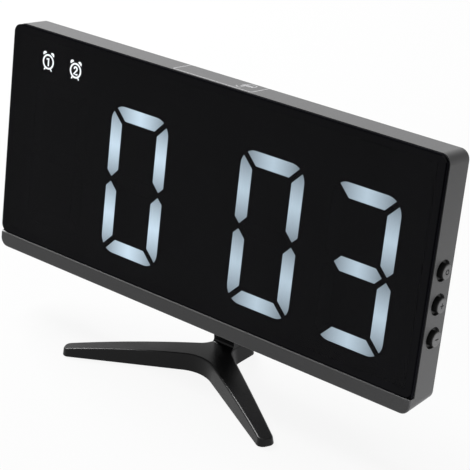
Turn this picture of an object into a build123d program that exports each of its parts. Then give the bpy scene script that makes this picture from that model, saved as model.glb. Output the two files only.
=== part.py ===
"""Digital desk clock: a slim leaning case with a dark lens, lit digits, side keys and a three-legged stand.

Millimetres. +X is the viewer's right, +Y goes back, +Z is up and the desk is at Z = 0.
The case is drawn upright in its own frame: x to the right, y back from the chin's front face and
z up from the chin's bottom edge. It is then leaned back and lifted onto the stand.
"""

import os
from math import cos, hypot, radians, sin, sqrt, tan

from build123d import *

# Case
case_width = 200.0
case_height = 91.2
case_wall = 1.8
case_corner_r = 3.6
case_foot_corner_r = 3.6
case_back_round = 0.3
case_lean = 9.4
chin_height = 6.2
chin_ledge = 1.6
chin_round = 0.7
face_wall = 1.6
case_lift = 25.81
chin_y = -8.95
overrun = 5.0
slip = 0.15

# Lens and display mask
lens_setback = 0.2
lens_thick = 0.8
lens_inset = 0.1
lens_corner_r = 3.3
mask_thick = 1.6
mask_inset = 0.4

# Digits, colon and alarm signs
digit_side = 13.89
digit_space = 12.07
colon_space = 34.48
digit_base = 14.91
digit_head = 18.99
digit_shift = -0.5
digit_round = 6.2
segment_thick = 5.4
segment_gap = 2.1
segment_tip_gap = 1.9
segment_tip_share = 0.42
window_slip = 0.05
colon_r = 3.0
colon_rise = 12.5
sign_r = 3.5
sign_drop = 11.5
sign_side = 18.5
sign_pitch = 14.7

# Reflector and display board
reflector_side = 10.5
reflector_base = 11.9
reflector_drop = 5.3
reflector_depth = 5.4
board_thick = 1.2
board_side = 3.5
board_base = 11.4
board_drop = 3.8
rear_room = 3.1
led_long = 2.8
led_short = 1.6
led_thick = 0.8
led_spread_share = 0.2

# Screws and bosses
boss_r = 2.6
boss_hole_slip = 0.05
screw_r = 1.0
screw_head_r = 2.1
screw_head_thick = 1.2
screw_bite = 3.2
screw_slot = 0.5
board_hole_slip = 0.25
boss_side = 5.6
board_boss_rise = 3.0
board_boss_gap = 4.6
cover_boss_drop = 5.8
cover_foot_boss_side = 20.0
cover_foot_boss_rise = 2.8
boss_passage = 0.6
head_sink = 0.9
head_slip = 0.15

# Side keys
key_r = 2.7
key_proud = 1.7
key_round = 0.5
key_slip = 0.2
key_collar_r = 3.7
key_collar_sink = 0.9
key_lowest = 26.78
key_pitch = 12.0
key_travel = 0.6
key_flange_slack = 0.55
key_flange_over = 1.0
key_flange_thick = 1.1
key_flange_gap = 0.1
plunger_r = 1.2
plunger_long = 1.9
plunger_slip = 0.2
switch_side = 6.0
switch_thick = 2.8
switch_bore_spare = 0.2
key_mark_long = 2.0
key_mark_wide = 0.4
key_mark_deep = 0.2
key_board_slack = 0.5
key_board_end = 6.0
key_rib_thick = 1.4
key_rib_long = 3.6
key_rib_slack = 1.4
key_notch_slip = 0.8

# Touch field
touch_width = 36.6
touch_centre = -2.4
touch_deep = 6.0
touch_thick = 0.25
touch_spring_wide = 5.0
touch_spring_thick = 0.3
touch_spring_foot = 1.9
touch_spring_leg = 4.5

# Rear cover and its pod
cover_thick = 1.65
cover_recess = 0.15
pod_clear = 0.35
pod_deep = 12.0
pod_wall = 1.8
pod_corner_r = 6.0
pod_round = 2.0
sound_hole_r = 0.65
sound_ring_r = 2.6
sound_holes = 6
sound_side = 10.1
sound_drop = 9.0
cover_groove = 0.5

# Main board in the pod
main_gap = 1.0
main_slip = 1.0
main_post_side = 4.7
main_post_inset = 3.6
main_post_r = 2.4
buzzer_side = 9.0
buzzer_thick = 3.2
buzzer_port_r = 1.0
chip_side = 10.0
chip_thick = 1.6
chip_side_gap = 12.1
driver_long = 15.0
driver_wide = 7.6
driver_thick = 1.8
driver_x = 47.0
driver_height = 62.0
crystal_r = 1.0
crystal_long = 6.0
crystal_left = 2.0
link_long = 22.0
link_wide = 5.0
link_rise = 5.6
link_shift = 5.5
link_plug_share = 0.5

# Power socket
socket_width = 9.0
socket_tall = 3.3
socket_corner_flat = 0.25
socket_shell = 0.3
socket_tongue_wide = 6.6
socket_tongue_thick = 0.7
socket_tongue_back = 0.9
socket_root = 1.6
socket_rise = 9.6
socket_slip = 0.15

# Backup cell and its twist-off door
cell_r = 10.0
cell_thick = 3.2
cell_slip = 0.35
cell_wall = 1.5
well_gap = 4.6
well_side = 0.7
well_margin = 2.3
cell_floor = 1.3
contact_thick = 0.3
contact_r = 4.0
clip_wide = 4.0
clip_leg = 2.4
door_margin = 1.6
door_slip = 0.2
door_thick = 2.0
door_lug_out = 1.0
door_lug_thick = 0.8
door_lug_turn = 34.0
door_lug_slip = 0.2
door_slot_long = 13.0
door_slot_wide = 2.0
door_slot_deep = 0.9
door_twist = 60.0

# Stand
foot_back = 25.3
foot_gap = 0.4
apex_y = 0.8
apex_r = 15.0
leg_sweep = 28.1
leg_reach = 49.5
leg_root_y = 11.2
leg_tip_width = 6.3
leg_tip_r = 2.6
leg_edge_r = 0.7
leg_draft = 1.05
hub_height = 7.1
leg_arch_r = 333.0
heel_half_width = 6.1
heel_r = 2.6
crotch_r = 6.5
neck_front_y = 13.0
neck_flare_r = 1.2
neck_half_width = 5.0
neck_straight = 3.0
neck_back_inset = 3.0
neck_bend_r = 9.0
neck_root = 3.0
tongue_thick = 5.2
tongue_headroom = 1.4
tongue_slip = 0.2
tongue_wall = 1.6
lock_drop = 10.0
lock_screw_r = 1.45
lock_hole_slip = 0.05
lock_head_r = 2.75
lock_head_thick = 1.7
lock_bite = 4.4
lock_slot = 0.7
pad_r = 2.3
heel_pad_r = 4.2
pad_thick = 1.2
pad_slip = 0.1
pad_tip_inset = 5.0

# Levels through the case, front to back
lens_back = lens_setback + lens_thick
face_front = lens_back + mask_thick
face_back = face_front + face_wall
board_front = face_front + reflector_depth
board_back = board_front + board_thick
cover_front = board_back + rear_room
cover_back = cover_front + cover_thick
case_depth = cover_back + cover_recess
slope = tan(radians(case_lean))
wall_rise = case_wall / cos(radians(case_lean))

# Places across and up the case
half_width = case_width / 2
inner_half_width = half_width - case_wall
digit_width = (case_width - 2 * digit_side - 2 * digit_space - colon_space) / 4
digit_height = case_height - digit_base - digit_head
digit_middle = digit_base + digit_height / 2
digit_pitch = digit_width + digit_space
pair_pitch = digit_width + colon_space
sign_height = case_height - sign_drop
sign_places = (sign_side - half_width, sign_side + sign_pitch - half_width)
reflector_half_width = half_width - reflector_side
reflector_top = case_height - reflector_drop
board_half_width = half_width - board_side
board_top = case_height - board_drop
boss_x = half_width - boss_side
boss_hole_r = screw_r + boss_hole_slip
board_hole_r = screw_r + board_hole_slip
boss_passage_r = boss_r + boss_passage

# The side keys, from the highest to the lowest, and what stands behind them
key_hole_r = key_collar_r + key_slip
key_y = (face_back + cover_front) / 2
key_heights = (key_lowest + 2 * key_pitch, key_lowest + key_pitch, key_lowest)
key_board_base = key_lowest - key_board_end
key_board_top = key_heights[0] + key_board_end
key_flange_left = inner_half_width - key_flange_gap - key_flange_thick
switch_front = key_flange_left - key_travel - switch_bore_spare
key_board_left = switch_front - switch_thick - board_thick
board_boss_heights = (board_base + board_boss_rise, key_board_top + board_boss_gap)

# The backup cell's door and well
door_r = cell_r + door_margin
well_r = door_r + door_slip
lug_groove_r = well_r + door_lug_out + door_lug_slip
well_outer_r = lug_groove_r + cell_wall
lug_width = 2 * door_r * sin(radians(door_lug_turn / 2))

# The pod, sized by the stand's sleeve and the cell's well
sleeve_half = neck_half_width + tongue_slip + tongue_wall
pod_half_width = sleeve_half + well_gap + 2 * well_outer_r + well_side + pod_wall
pod_base = case_depth * slope + wall_rise + pod_clear
pod_top = pod_base + 2 * (pod_wall + well_margin + well_outer_r)
pod_back = cover_back + pod_deep
pod_inner_back = pod_back - pod_wall
pod_inner_base = pod_base + pod_wall
pod_inner_top = pod_top - pod_wall
tongue_back = pod_inner_back - tongue_slip
tongue_front = tongue_back - tongue_thick
tongue_top = pod_inner_top - tongue_headroom - tongue_wall - tongue_slip
lock_height = tongue_top - lock_drop
lock_hole_r = lock_screw_r + lock_hole_slip
main_back = tongue_front - tongue_slip - tongue_wall - main_gap
main_front = main_back - board_thick
main_post_x = pod_half_width - pod_wall - main_post_side
cell_x = 0 - sleeve_half - well_gap - well_outer_r
cell_height = (pod_base + pod_top) / 2
door_seat = pod_back - door_thick - door_lug_slip
door_lip = door_thick - door_lug_thick - door_lug_slip
well_floor = door_seat - cell_thick - contact_thick - cell_slip
contact_legs = ((cell_x, cell_height), (cell_x + cell_r - clip_leg, cell_height))
sound_x = sleeve_half + sound_side
sound_height = pod_top - sound_drop
chip_x = sleeve_half + chip_side_gap
link_x = cell_x + link_shift
link_height = pod_inner_base + link_rise
socket_x = 0 - cell_x
socket_height = pod_inner_base + socket_rise
socket_corner_r = socket_tall / 2 - socket_corner_flat
neck_back_y = foot_back - neck_back_inset


def sheet(sketch, near, far):
    """A sketch in x and z made into a plate from y = near to y = far."""
    plate = extrude(sketch, far - near, dir=(0, 0, 1))
    return Plane(origin=(0, far, 0), x_dir=(1, 0, 0), z_dir=(0, -1, 0)) * plate


def block(low, high):
    """A box between two corners."""
    size = [b - a for a, b in zip(low, high)]
    middle = [(a + b) / 2 for a, b in zip(low, high)]
    return Pos(*middle) * Box(*size)


def rod_y(x, z, radius, near, far):
    """A round rod along y."""
    return sheet(Pos(x, z) * Circle(radius), near, far)


def rod_x(y, z, radius, left, right):
    """A round rod along x."""
    return Pos((left + right) / 2, y, z) * Rot(0, 90, 0) * Cylinder(radius, right - left)


def rounded(sketch, corners, radius):
    """A sketch with the corners nearest to the given points rounded."""
    chosen = []
    for corner in corners:
        place = Vector(*corner)
        chosen.append(min(sketch.vertices(), key=lambda v: (v.center() - place).length))
    return fillet(chosen, radius)


def group(pieces):
    """Several loose solids that belong to one node."""
    return Compound([solid for piece in pieces for solid in piece.solids()])


def outline(inset, top_r, foot_r):
    """The case's front outline, drawn in by an inset, with its own corner radii."""
    side = half_width - inset
    top = case_height - inset
    shape = Polygon((-side, inset), (side, inset), (side, top), (-side, top), align=None)
    shape = rounded(shape, ((-side, top), (side, top)), top_r)
    return rounded(shape, ((-side, inset), (side, inset)), foot_r) if foot_r else shape


def below_floor(rise):
    """Everything under the case's level bottom, raised by a given amount."""
    room = case_width
    lump = block((-room, -room, -room), (room, room, 0))
    return Pos(0, 0, rise) * Rot(case_lean, 0, 0) * lump


def boss_places():
    """Where the case's bosses stand: those for the board and those for the rear cover."""
    board = [(side * boss_x, z) for side in (-1, 1) for z in board_boss_heights]
    cover = [(side * boss_x, case_height - cover_boss_drop) for side in (-1, 1)]
    foot_x = half_width - cover_foot_boss_side
    cover += [(side * foot_x, board_base - cover_foot_boss_rise) for side in (-1, 1)]
    return board, cover


def screw(x, z, seat, bite, radius, head_r, head_thick, slot, facing):
    """A pan-head screw along y with its head's underside at y = seat, pointing forward or back."""
    head = rod_y(x, z, head_r, min(seat, seat + facing * head_thick), max(seat, seat + facing * head_thick))
    shank = rod_y(x, z, radius, min(seat, seat - facing * bite), max(seat, seat - facing * bite))
    crown = seat + facing * head_thick
    floor = crown - facing * slot
    body = head + shank
    for long, wide in ((head_r, slot), (slot, head_r)):
        low = (x - long / 2, min(floor, crown + facing * slot), z - wide / 2)
        high = (x + long / 2, max(floor, crown + facing * slot), z + wide / 2)
        body -= block(low, high)
    return body


def digit_places():
    """The middles of the four digits."""
    inner = pair_pitch / 2
    outer = inner + digit_pitch
    return [digit_shift + x for x in (-outer, -inner, inner, outer)]


def segment_shapes(grow):
    """The seven bars of a digit about its middle, as sketches in the order top to middle."""
    w = digit_width / 2
    h = digit_height / 2
    t = segment_thick
    m = segment_gap / sqrt(2)
    g = segment_gap / 2
    tip = (-w + t * segment_tip_share, segment_tip_gap / 2)
    top = Polygon((-w + m, h), (w - m, h), (w - m - t, h - t), (-w + m + t, h - t), align=None)
    side = Polygon(
        (-w, h - m), (-w + t, h - t - m), (-w + t, t / 2 + m), tip, (-w, m + t / 2 - g), align=None
    )
    middle = Polygon(
        (-w + t / 2 + m, 0), (-w + t + m, t / 2), (w - t - m, t / 2),
        (w - t / 2 - m, 0), (w - t - m, -t / 2), (-w + t + m, -t / 2), align=None,
    )
    frame = RectangleRounded(digit_width, digit_height, digit_round)
    top = top & frame
    side = side & frame
    flip = Rot(0, 180, 0)
    turn = Rot(180, 0, 0)
    bars = {
        "a": top, "f": side, "g": middle,
        "b": flip * side, "d": turn * top, "e": turn * side, "c": turn * (flip * side),
    }
    if grow:
        bars = {name: offset(bar, grow) for name, bar in bars.items()}
    return bars


lit_bars = ("", "abcdef", "abcdef", "abcdg")
bar_names = "abcdefg"


def bars_of(lit, grow):
    """All bars that are lit, or all that are dark, on the four digits."""
    shapes = segment_shapes(grow)
    found = []
    for place, on in zip(digit_places(), lit_bars):
        for name in bar_names:
            if (name in on) == lit:
                found.append(Pos(place, digit_middle) * shapes[name])
    return found


def colon_shapes(grow):
    """The two dots between the pairs of digits."""
    return [Pos(digit_shift, digit_middle + side * colon_rise) * Circle(colon_r + grow) for side in (-1, 1)]


def sign_shapes(grow):
    """The two round windows of the alarm signs."""
    return [Pos(x, sign_height) * Circle(sign_r + grow) for x in sign_places]


def front_case():
    """The front frame: side walls, face with a window, chin and screw bosses in one moulding."""
    shell = sheet(outline(0, case_corner_r, 0), 0, case_depth) - below_floor(0)
    sides = [e for e in shell.edges() if abs(abs(e.center().X) - half_width) < slip]
    shell = fillet([e for e in sides if e.center().Z < chin_height], case_foot_corner_r)
    rim = [e for e in shell.edges() if e.center().Y > case_depth - slip]
    shell = fillet(rim, case_back_round)
    shell -= block((-case_width, -overrun, chin_height), (case_width, face_front, case_height + overrun))
    front = [e for e in shell.edges() if e.center().Y < slip]
    shell = fillet(front, chin_round)
    hollow = sheet(outline(case_wall, case_corner_r - case_wall, slip), face_back, case_depth + overrun)
    shell -= hollow - below_floor(wall_rise)
    pocket = block(
        (-inner_half_width, chin_ledge, 0), (inner_half_width, face_back + overrun, chin_height - chin_ledge)
    )
    shell -= pocket - below_floor(wall_rise)
    window = block(
        (-reflector_half_width - slip, 0, reflector_base - slip),
        (reflector_half_width + slip, face_back + slip, reflector_top + slip),
    )
    shell -= window
    board, cover = boss_places()
    for x, z in board:
        shell += rod_y(x, z, boss_r, face_front, board_front) - rod_y(x, z, boss_hole_r, face_back, board_front)
    for x, z in cover:
        shell += rod_y(x, z, boss_r, face_front, cover_front) - rod_y(x, z, boss_hole_r, face_back, cover_front)
    for z in key_heights:
        shell -= rod_x(key_y, z, key_hole_r, inner_half_width - slip, half_width + overrun)
    for start in (key_board_base, key_board_top - key_rib_long):
        shell += block(
            (key_board_left - key_rib_thick, face_front, start),
            (key_board_left, cover_front - key_rib_slack, start + key_rib_long),
        )
    return shell


def front_lens():
    """The smoked lens over the whole front above the chin."""
    shape = outline(lens_inset, lens_corner_r, lens_corner_r)
    plate = sheet(shape, lens_setback, lens_back)
    base = chin_height + lens_inset
    plate -= block((-case_width, 0, -overrun), (case_width, case_depth, base))
    corners = [e for e in plate.edges().filter_by(Axis.Y) if e.center().Z < base + slip]
    return fillet(corners, lens_corner_r)


def display_mask():
    """The black mask behind the lens, with a window for every bar, dot and sign."""
    plate = sheet(outline(mask_inset, case_corner_r - mask_inset, slip), lens_back, face_front)
    plate -= block((-case_width, 0, -overrun), (case_width, case_depth, chin_height))
    cuts = bars_of(True, window_slip) + bars_of(False, window_slip)
    cuts += colon_shapes(window_slip) + sign_shapes(window_slip)
    for shape in cuts:
        plate -= sheet(shape, lens_back - slip, face_front + slip)
    return plate


def window_fillers(shapes):
    """Milky fillers in the mask's windows, flush with the mask."""
    return group([sheet(shape, lens_back, face_front) for shape in shapes])


def segment_reflector():
    """The white block of light wells behind the mask."""
    plate = block(
        (-reflector_half_width, face_front, reflector_base), (reflector_half_width, board_front, reflector_top)
    )
    wells = bars_of(True, 0) + bars_of(False, 0) + colon_shapes(0) + sign_shapes(0)
    return plate - [sheet(shape, face_front - slip, board_front + slip) for shape in wells]


def display_board():
    """The board that carries the lamps, notched for the keys and the cover's bosses."""
    plate = block((-board_half_width, board_front, board_base), (board_half_width, board_back, board_top))
    board, cover = boss_places()
    for x, z in board:
        plate -= rod_y(x, z, board_hole_r, board_front - slip, board_back + slip)
    for x, z in cover:
        plate -= rod_y(x, z, boss_passage_r, board_front - slip, board_back + slip)
        side = 1 if x > 0 else -1
        edge = sorted((x, x + side * overrun))
        plate -= block(
            (edge[0], board_front - slip, z - boss_passage_r), (edge[1], board_back + slip, z + boss_passage_r)
        )
    plate -= block(
        (key_board_left - key_rib_thick - slip, board_front - slip, key_board_base - key_notch_slip),
        (case_width, board_back + slip, key_board_top + key_notch_slip),
    )
    return plate


def led_places():
    """Where the lamps stand: two behind each bar, one behind each dot and sign, long side along the bar."""
    w = digit_width / 2 - segment_thick / 2
    h = digit_height / 2 - segment_thick / 2
    across = digit_width * led_spread_share
    along = digit_height / 2 * led_spread_share
    middle = digit_middle
    places = []
    for place in digit_places():
        for z in (-h, 0, h):
            places += [(place + side * across, middle + z, False) for side in (-1, 1)]
        for x in (-w, w):
            for z in (-h / 2, h / 2):
                places += [(place + x, middle + z + side * along, True) for side in (-1, 1)]
    places += [(digit_shift, middle + side * colon_rise, False) for side in (-1, 1)]
    places += [(x, sign_height, False) for x in sign_places]
    return places


def display_leds():
    """The lamps on the display board, one small block each."""
    lamps = []
    for x, z, upright in led_places():
        wide, tall = (led_short, led_long) if upright else (led_long, led_short)
        lamps.append(
            block((x - wide / 2, board_front - led_thick, z - tall / 2), (x + wide / 2, board_front, z + tall / 2))
        )
    return group(lamps)


def driver_chips():
    """The lamp driver chips on the back of the display board."""
    chips = []
    for side in (-1, 1):
        x = side * driver_x
        chips.append(
            block(
                (x - driver_long / 2, board_back, driver_height - driver_wide / 2),
                (x + driver_long / 2, board_back + driver_thick, driver_height + driver_wide / 2),
            )
        )
    return group(chips)


def board_screws():
    """The screws that hold the display board to the case."""
    board, cover = boss_places()
    return group([
            screw(x, z, board_back, screw_bite, screw_r, screw_head_r, screw_head_thick, screw_slot, 1)
            for x, z in board
        ]
    )


def touch_plate():
    """The copper touch field under the top wall."""
    top = case_height - case_wall
    left = touch_centre - touch_width / 2
    return block(
        (left, face_back + slip, top - touch_thick), (left + touch_width, face_back + slip + touch_deep, top)
    )


def touch_spring():
    """The bent leaf that joins the touch field to the display board."""
    top = case_height - case_wall - touch_thick
    foot = top - touch_spring_thick
    leg = block(
        (touch_centre - touch_spring_wide / 2, board_back, board_top - touch_spring_leg),
        (touch_centre + touch_spring_wide / 2, board_back + touch_spring_thick, top),
    )
    return leg + block(
        (touch_centre - touch_spring_wide / 2, board_back, foot),
        (touch_centre + touch_spring_wide / 2, board_back + touch_spring_foot, top),
    )


def key_board():
    """The small upright board behind the side keys."""
    return block(
        (key_board_left, face_back, key_board_base),
        (key_board_left + board_thick, cover_front - key_board_slack, key_board_top),
    )


def key_switches():
    """The bodies of the three key switches."""
    right = switch_front
    bodies = []
    for z in key_heights:
        body = block(
            (right - switch_thick, key_y - switch_side / 2, z - switch_side / 2),
            (right, key_y + switch_side / 2, z + switch_side / 2),
        )
        inner = key_flange_left - plunger_long - key_travel - switch_bore_spare
        bodies.append(body - rod_x(key_y, z, plunger_r + plunger_slip, inner, right + slip))
    return group(bodies)


def key_plunger(z):
    """A switch's plunger, which stands against the key's flange."""
    right = key_flange_left
    return rod_x(key_y, z, plunger_r, right - plunger_long, right)


def key_cap(z, sign):
    """A round side key with a sunk collar, a flange inside the wall and a cut sign on its face."""
    face = half_width + key_proud
    left = key_flange_left
    cap = rod_x(key_y, z, key_r, left, face)
    rim = [e for e in cap.edges() if e.center().X > face - slip]
    cap = fillet(rim, key_round)
    cap += rod_x(key_y, z, key_collar_r, left, half_width - key_collar_sink)
    reach = key_collar_r + key_flange_over
    cap += block(
        (left, face_back + key_flange_slack, z - reach),
        (left + key_flange_thick, cover_front - key_flange_slack, z + reach),
    )
    bar = (face - key_mark_deep, key_mark_long / 2, key_mark_wide / 2)
    strokes = {"plus": ((bar[1], bar[2]), (bar[2], bar[1])), "minus": ((bar[1], bar[2]),), "dot": ()}
    for along, tall in strokes[sign]:
        cap -= block((bar[0], key_y - along, z - tall), (face + slip, key_y + along, z + tall))
    if sign == "dot":
        ring = rod_x(key_y, z, key_mark_long / 2, bar[0], face + slip)
        cap -= ring - rod_x(key_y, z, key_mark_long / 2 - key_mark_wide, bar[0], face + slip)
    return cap


def rear_cover():
    """The cover in the back of the case, with a hollow pod for the stand, the main board and the cell."""
    gap = case_wall + slip
    plate = sheet(outline(gap, case_corner_r - gap, slip), cover_front, cover_back) - below_floor(wall_rise + slip)
    middle = (pod_base + pod_top) / 2
    tall = pod_top - pod_base
    pod = sheet(
        Pos(0, middle) * RectangleRounded(2 * pod_half_width, tall, pod_corner_r), cover_front, pod_back
    )
    rim = [e for e in pod.edges() if e.center().Y > pod_back - slip]
    pod = fillet(rim, pod_round)
    inner = RectangleRounded(2 * (pod_half_width - pod_wall), tall - 2 * pod_wall, pod_corner_r - pod_wall)
    cover = plate + pod - sheet(Pos(0, middle) * inner, cover_front - slip, pod_inner_back)
    roof = tongue_top + tongue_slip + tongue_wall
    sleeve = block(
        (-sleeve_half, tongue_front - tongue_slip - tongue_wall, pod_base + pod_wall),
        (sleeve_half, pod_inner_back, roof),
    )
    cover += sleeve
    cover -= block(
        (-neck_half_width - tongue_slip, tongue_front - tongue_slip, pod_base - overrun),
        (neck_half_width + tongue_slip, pod_inner_back, tongue_top + tongue_slip),
    )
    cover -= rod_y(0, lock_height, lock_hole_r, pod_inner_back - slip, pod_back + slip)
    floor = well_floor
    cover += rod_y(cell_x, cell_height, well_outer_r, floor - cell_floor, pod_inner_back)
    cover -= rod_y(cell_x, cell_height, cell_r + cell_slip, floor, pod_back + slip)
    cover -= rod_y(cell_x, cell_height, well_r, door_seat, pod_back + slip)
    lip = pod_back - door_lip
    cover -= rod_y(cell_x, cell_height, lug_groove_r, door_seat, lip)
    for side in (-1, 1):
        gate = block(
            (-lug_groove_r, door_seat, -lug_width / 2 - door_lug_slip),
            (0, pod_back + slip, lug_width / 2 + door_lug_slip),
        )
        gate &= rod_y(0, 0, lug_groove_r, 0, pod_back + overrun)
        turned = Rot(0, door_twist, 0) * (gate if side < 0 else Rot(0, 180, 0) * gate)
        cover -= Pos(cell_x, 0, cell_height) * turned
    for x, z in contact_legs:
        cover -= block(
            (x - clip_leg / 2 - slip, floor - cell_floor - slip, z - contact_thick / 2 - slip),
            (x + clip_leg / 2 + slip, floor + slip, z + contact_thick / 2 + slip),
        )
    cover -= sheet(socket_outline(socket_slip), pod_inner_back - slip, pod_back + slip)
    for x, z in main_posts():
        cover += rod_y(x, z, main_post_r, main_back, pod_inner_back + slip)
        cover -= rod_y(x, z, boss_hole_r, main_back - slip, main_back + screw_bite + slip)
    hole = rod_y(sound_x, sound_height, sound_hole_r, pod_inner_back - slip, pod_back + slip)
    cover -= hole
    for turn in range(sound_holes):
        angle = radians(turn * 360 / sound_holes)
        cover -= Pos(sound_ring_r * cos(angle), 0, sound_ring_r * sin(angle)) * hole
    board, places = boss_places()
    for x, z in places:
        cover -= rod_y(x, z, board_hole_r, cover_front - slip, cover_back + slip)
        cover -= rod_y(x, z, screw_head_r + head_slip, cover_back - head_sink, cover_back + slip)
    return cover


def cover_screws():
    """The screws that hold the rear cover to the case."""
    board, places = boss_places()
    seat = cover_back - head_sink
    return group([
            screw(x, z, seat, screw_bite, screw_r, screw_head_r, screw_head_thick, screw_slot, 1)
            for x, z in places
        ]
    )


def main_posts():
    """Where the main board is screwed to the pod."""
    low = pod_inner_base + main_post_inset
    high = pod_inner_top - main_post_inset
    return [(side * main_post_x, z) for side in (-1, 1) for z in (low, high)]


def main_board():
    """The main board in the pod, parallel to the display board."""
    half = pod_half_width - pod_wall - main_slip
    low = pod_inner_base + main_slip
    high = pod_inner_top - main_slip
    plate = sheet(
        Pos(0, (low + high) / 2) * RectangleRounded(2 * half, high - low, pod_corner_r - pod_wall),
        main_front, main_back,
    )
    for x, z in main_posts():
        plate -= rod_y(x, z, board_hole_r, main_front - slip, main_back + slip)
    return plate


def main_screws():
    """The screws that hold the main board to the pod's posts."""
    return group([
            screw(x, z, main_front, screw_bite, screw_r, screw_head_r, screw_head_thick, screw_slot, -1)
            for x, z in main_posts()
        ]
    )


def controller_chip():
    """The clock's controller on the front of the main board."""
    return block(
        (chip_x - chip_side / 2, main_front - chip_thick, sound_height - chip_side),
        (chip_x + chip_side / 2, main_front, sound_height),
    )


def clock_crystal():
    """The timekeeping crystal, a small can lying on the main board."""
    y = main_front - crystal_r
    return rod_x(y, sound_height, crystal_r, crystal_left, crystal_left + crystal_long)


def buzzer():
    """The alarm's sounder on the back of the main board, behind the sound holes."""
    body = block(
        (sound_x - buzzer_side / 2, main_back, sound_height - buzzer_side / 2),
        (sound_x + buzzer_side / 2, main_back + buzzer_thick, sound_height + buzzer_side / 2),
    )
    return body - rod_y(sound_x, sound_height, buzzer_port_r, main_back + buzzer_thick / 2, pod_back)


def link_half(near, far, inset):
    """One half of the connector between the two boards."""
    return block(
        (link_x - link_long / 2 + inset, near, link_height - link_wide / 2 + inset),
        (link_x + link_long / 2 - inset, far, link_height + link_wide / 2 - inset),
    )


def socket_outline(grow):
    """The power socket's mouth, a flat oval."""
    shape = RectangleRounded(socket_width + 2 * grow, socket_tall + 2 * grow, socket_corner_r + grow)
    return Pos(socket_x, socket_height) * shape


def power_socket():
    """The metal shell of the power socket, closed at its root."""
    shell = sheet(socket_outline(0), main_back, pod_back)
    return shell - sheet(socket_outline(-socket_shell), main_back + socket_root, pod_back + slip)


def socket_tongue():
    """The contact tongue inside the power socket."""
    return block(
        (socket_x - socket_tongue_wide / 2, main_back + socket_root, socket_height - socket_tongue_thick / 2),
        (socket_x + socket_tongue_wide / 2, pod_back - socket_tongue_back, socket_height + socket_tongue_thick / 2),
    )


def backup_cell():
    """The round backup cell, resting on its contact."""
    near = well_floor + contact_thick
    cell = rod_y(cell_x, cell_height, cell_r, near, near + cell_thick)
    rims = [e for e in cell.edges() if e.geom_type == GeomType.CIRCLE]
    return chamfer(rims, contact_thick)


def cell_contacts():
    """The disc under the cell and the clip at its side, each with a leg to the main board."""
    floor = well_floor
    pieces = []
    for index, (x, z) in enumerate(contact_legs):
        leg = block(
            (x - clip_leg / 2, main_back, z - contact_thick / 2), (x + clip_leg / 2, floor, z + contact_thick / 2)
        )
        if index == 0:
            pieces.append(leg + rod_y(x, z, contact_r, floor, floor + contact_thick))
        else:
            foot = block(
                (x - clip_leg / 2, floor, z - clip_wide / 2), (x + clip_leg / 2, floor + contact_thick, z + clip_wide / 2)
            )
            pieces.append(leg + foot)
    return group(pieces)


def cell_door():
    """The round twist-off door over the cell, with two lugs and a coin slot."""
    seat = pod_back - door_thick
    disc = rod_y(0, 0, door_r, seat, pod_back)
    lug_reach = door_r + door_lug_out
    ring = rod_y(0, 0, lug_reach, seat, seat + door_lug_thick)
    band = block((-lug_reach, seat, -lug_width / 2), (lug_reach, pod_back, lug_width / 2))
    disc += ring & band
    disc -= block(
        (-door_slot_long / 2, pod_back - door_slot_deep, -door_slot_wide / 2),
        (door_slot_long / 2, pod_back + slip, door_slot_wide / 2),
    )
    return Pos(cell_x, 0, cell_height) * disc


def stand_point(y, z):
    """A point of the leaned case's frame, as the stand's depth and height."""
    lean = radians(case_lean)
    return chin_y + y * cos(lean) + z * sin(lean), case_lift - y * sin(lean) + z * cos(lean)


def leg_tip():
    """The front and back corners of the right leg's tip."""
    sweep = radians(leg_sweep)
    front = (leg_reach, apex_y - leg_reach * tan(sweep))
    return front, (front[0] + leg_tip_width * sin(sweep), front[1] + leg_tip_width * cos(sweep))


def drawn_in(corners, inset):
    """A polygon's corners, in anticlockwise order, with every side moved inwards."""
    sides = []
    for (ax, ay), (bx, by) in zip(corners, corners[1:] + corners[:1]):
        run = hypot(bx - ax, by - ay)
        nx, ny = (ay - by) / run, (bx - ax) / run
        sides.append((nx, ny, nx * ax + ny * ay + inset))
    moved = []
    for (px, py, p), (qx, qy, q) in zip(sides[-1:] + sides[:-1], sides):
        spread = px * qy - qx * py
        moved.append(((p * qy - q * py) / spread, (px * q - qx * p) / spread))
    return moved


def stand_plan(inset):
    """The stand's outline, drawn in by an inset: two swept front legs and a short heel."""
    half = [*leg_tip(), (heel_half_width, leg_root_y), (heel_half_width, foot_back)]
    mirrored = [(-x, y) for x, y in reversed(half)]
    corners = drawn_in([(0, apex_y), *half, *mirrored], inset)
    shape = Polygon(*corners, align=None)
    radii = (apex_r + inset, leg_tip_r - inset, leg_tip_r - inset, crotch_r + inset, heel_r - inset)
    for index, radius in enumerate(radii):
        pair = (corners[index], corners[-index]) if index else corners[:1]
        shape = rounded(shape, pair, radius)
    return shape


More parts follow.
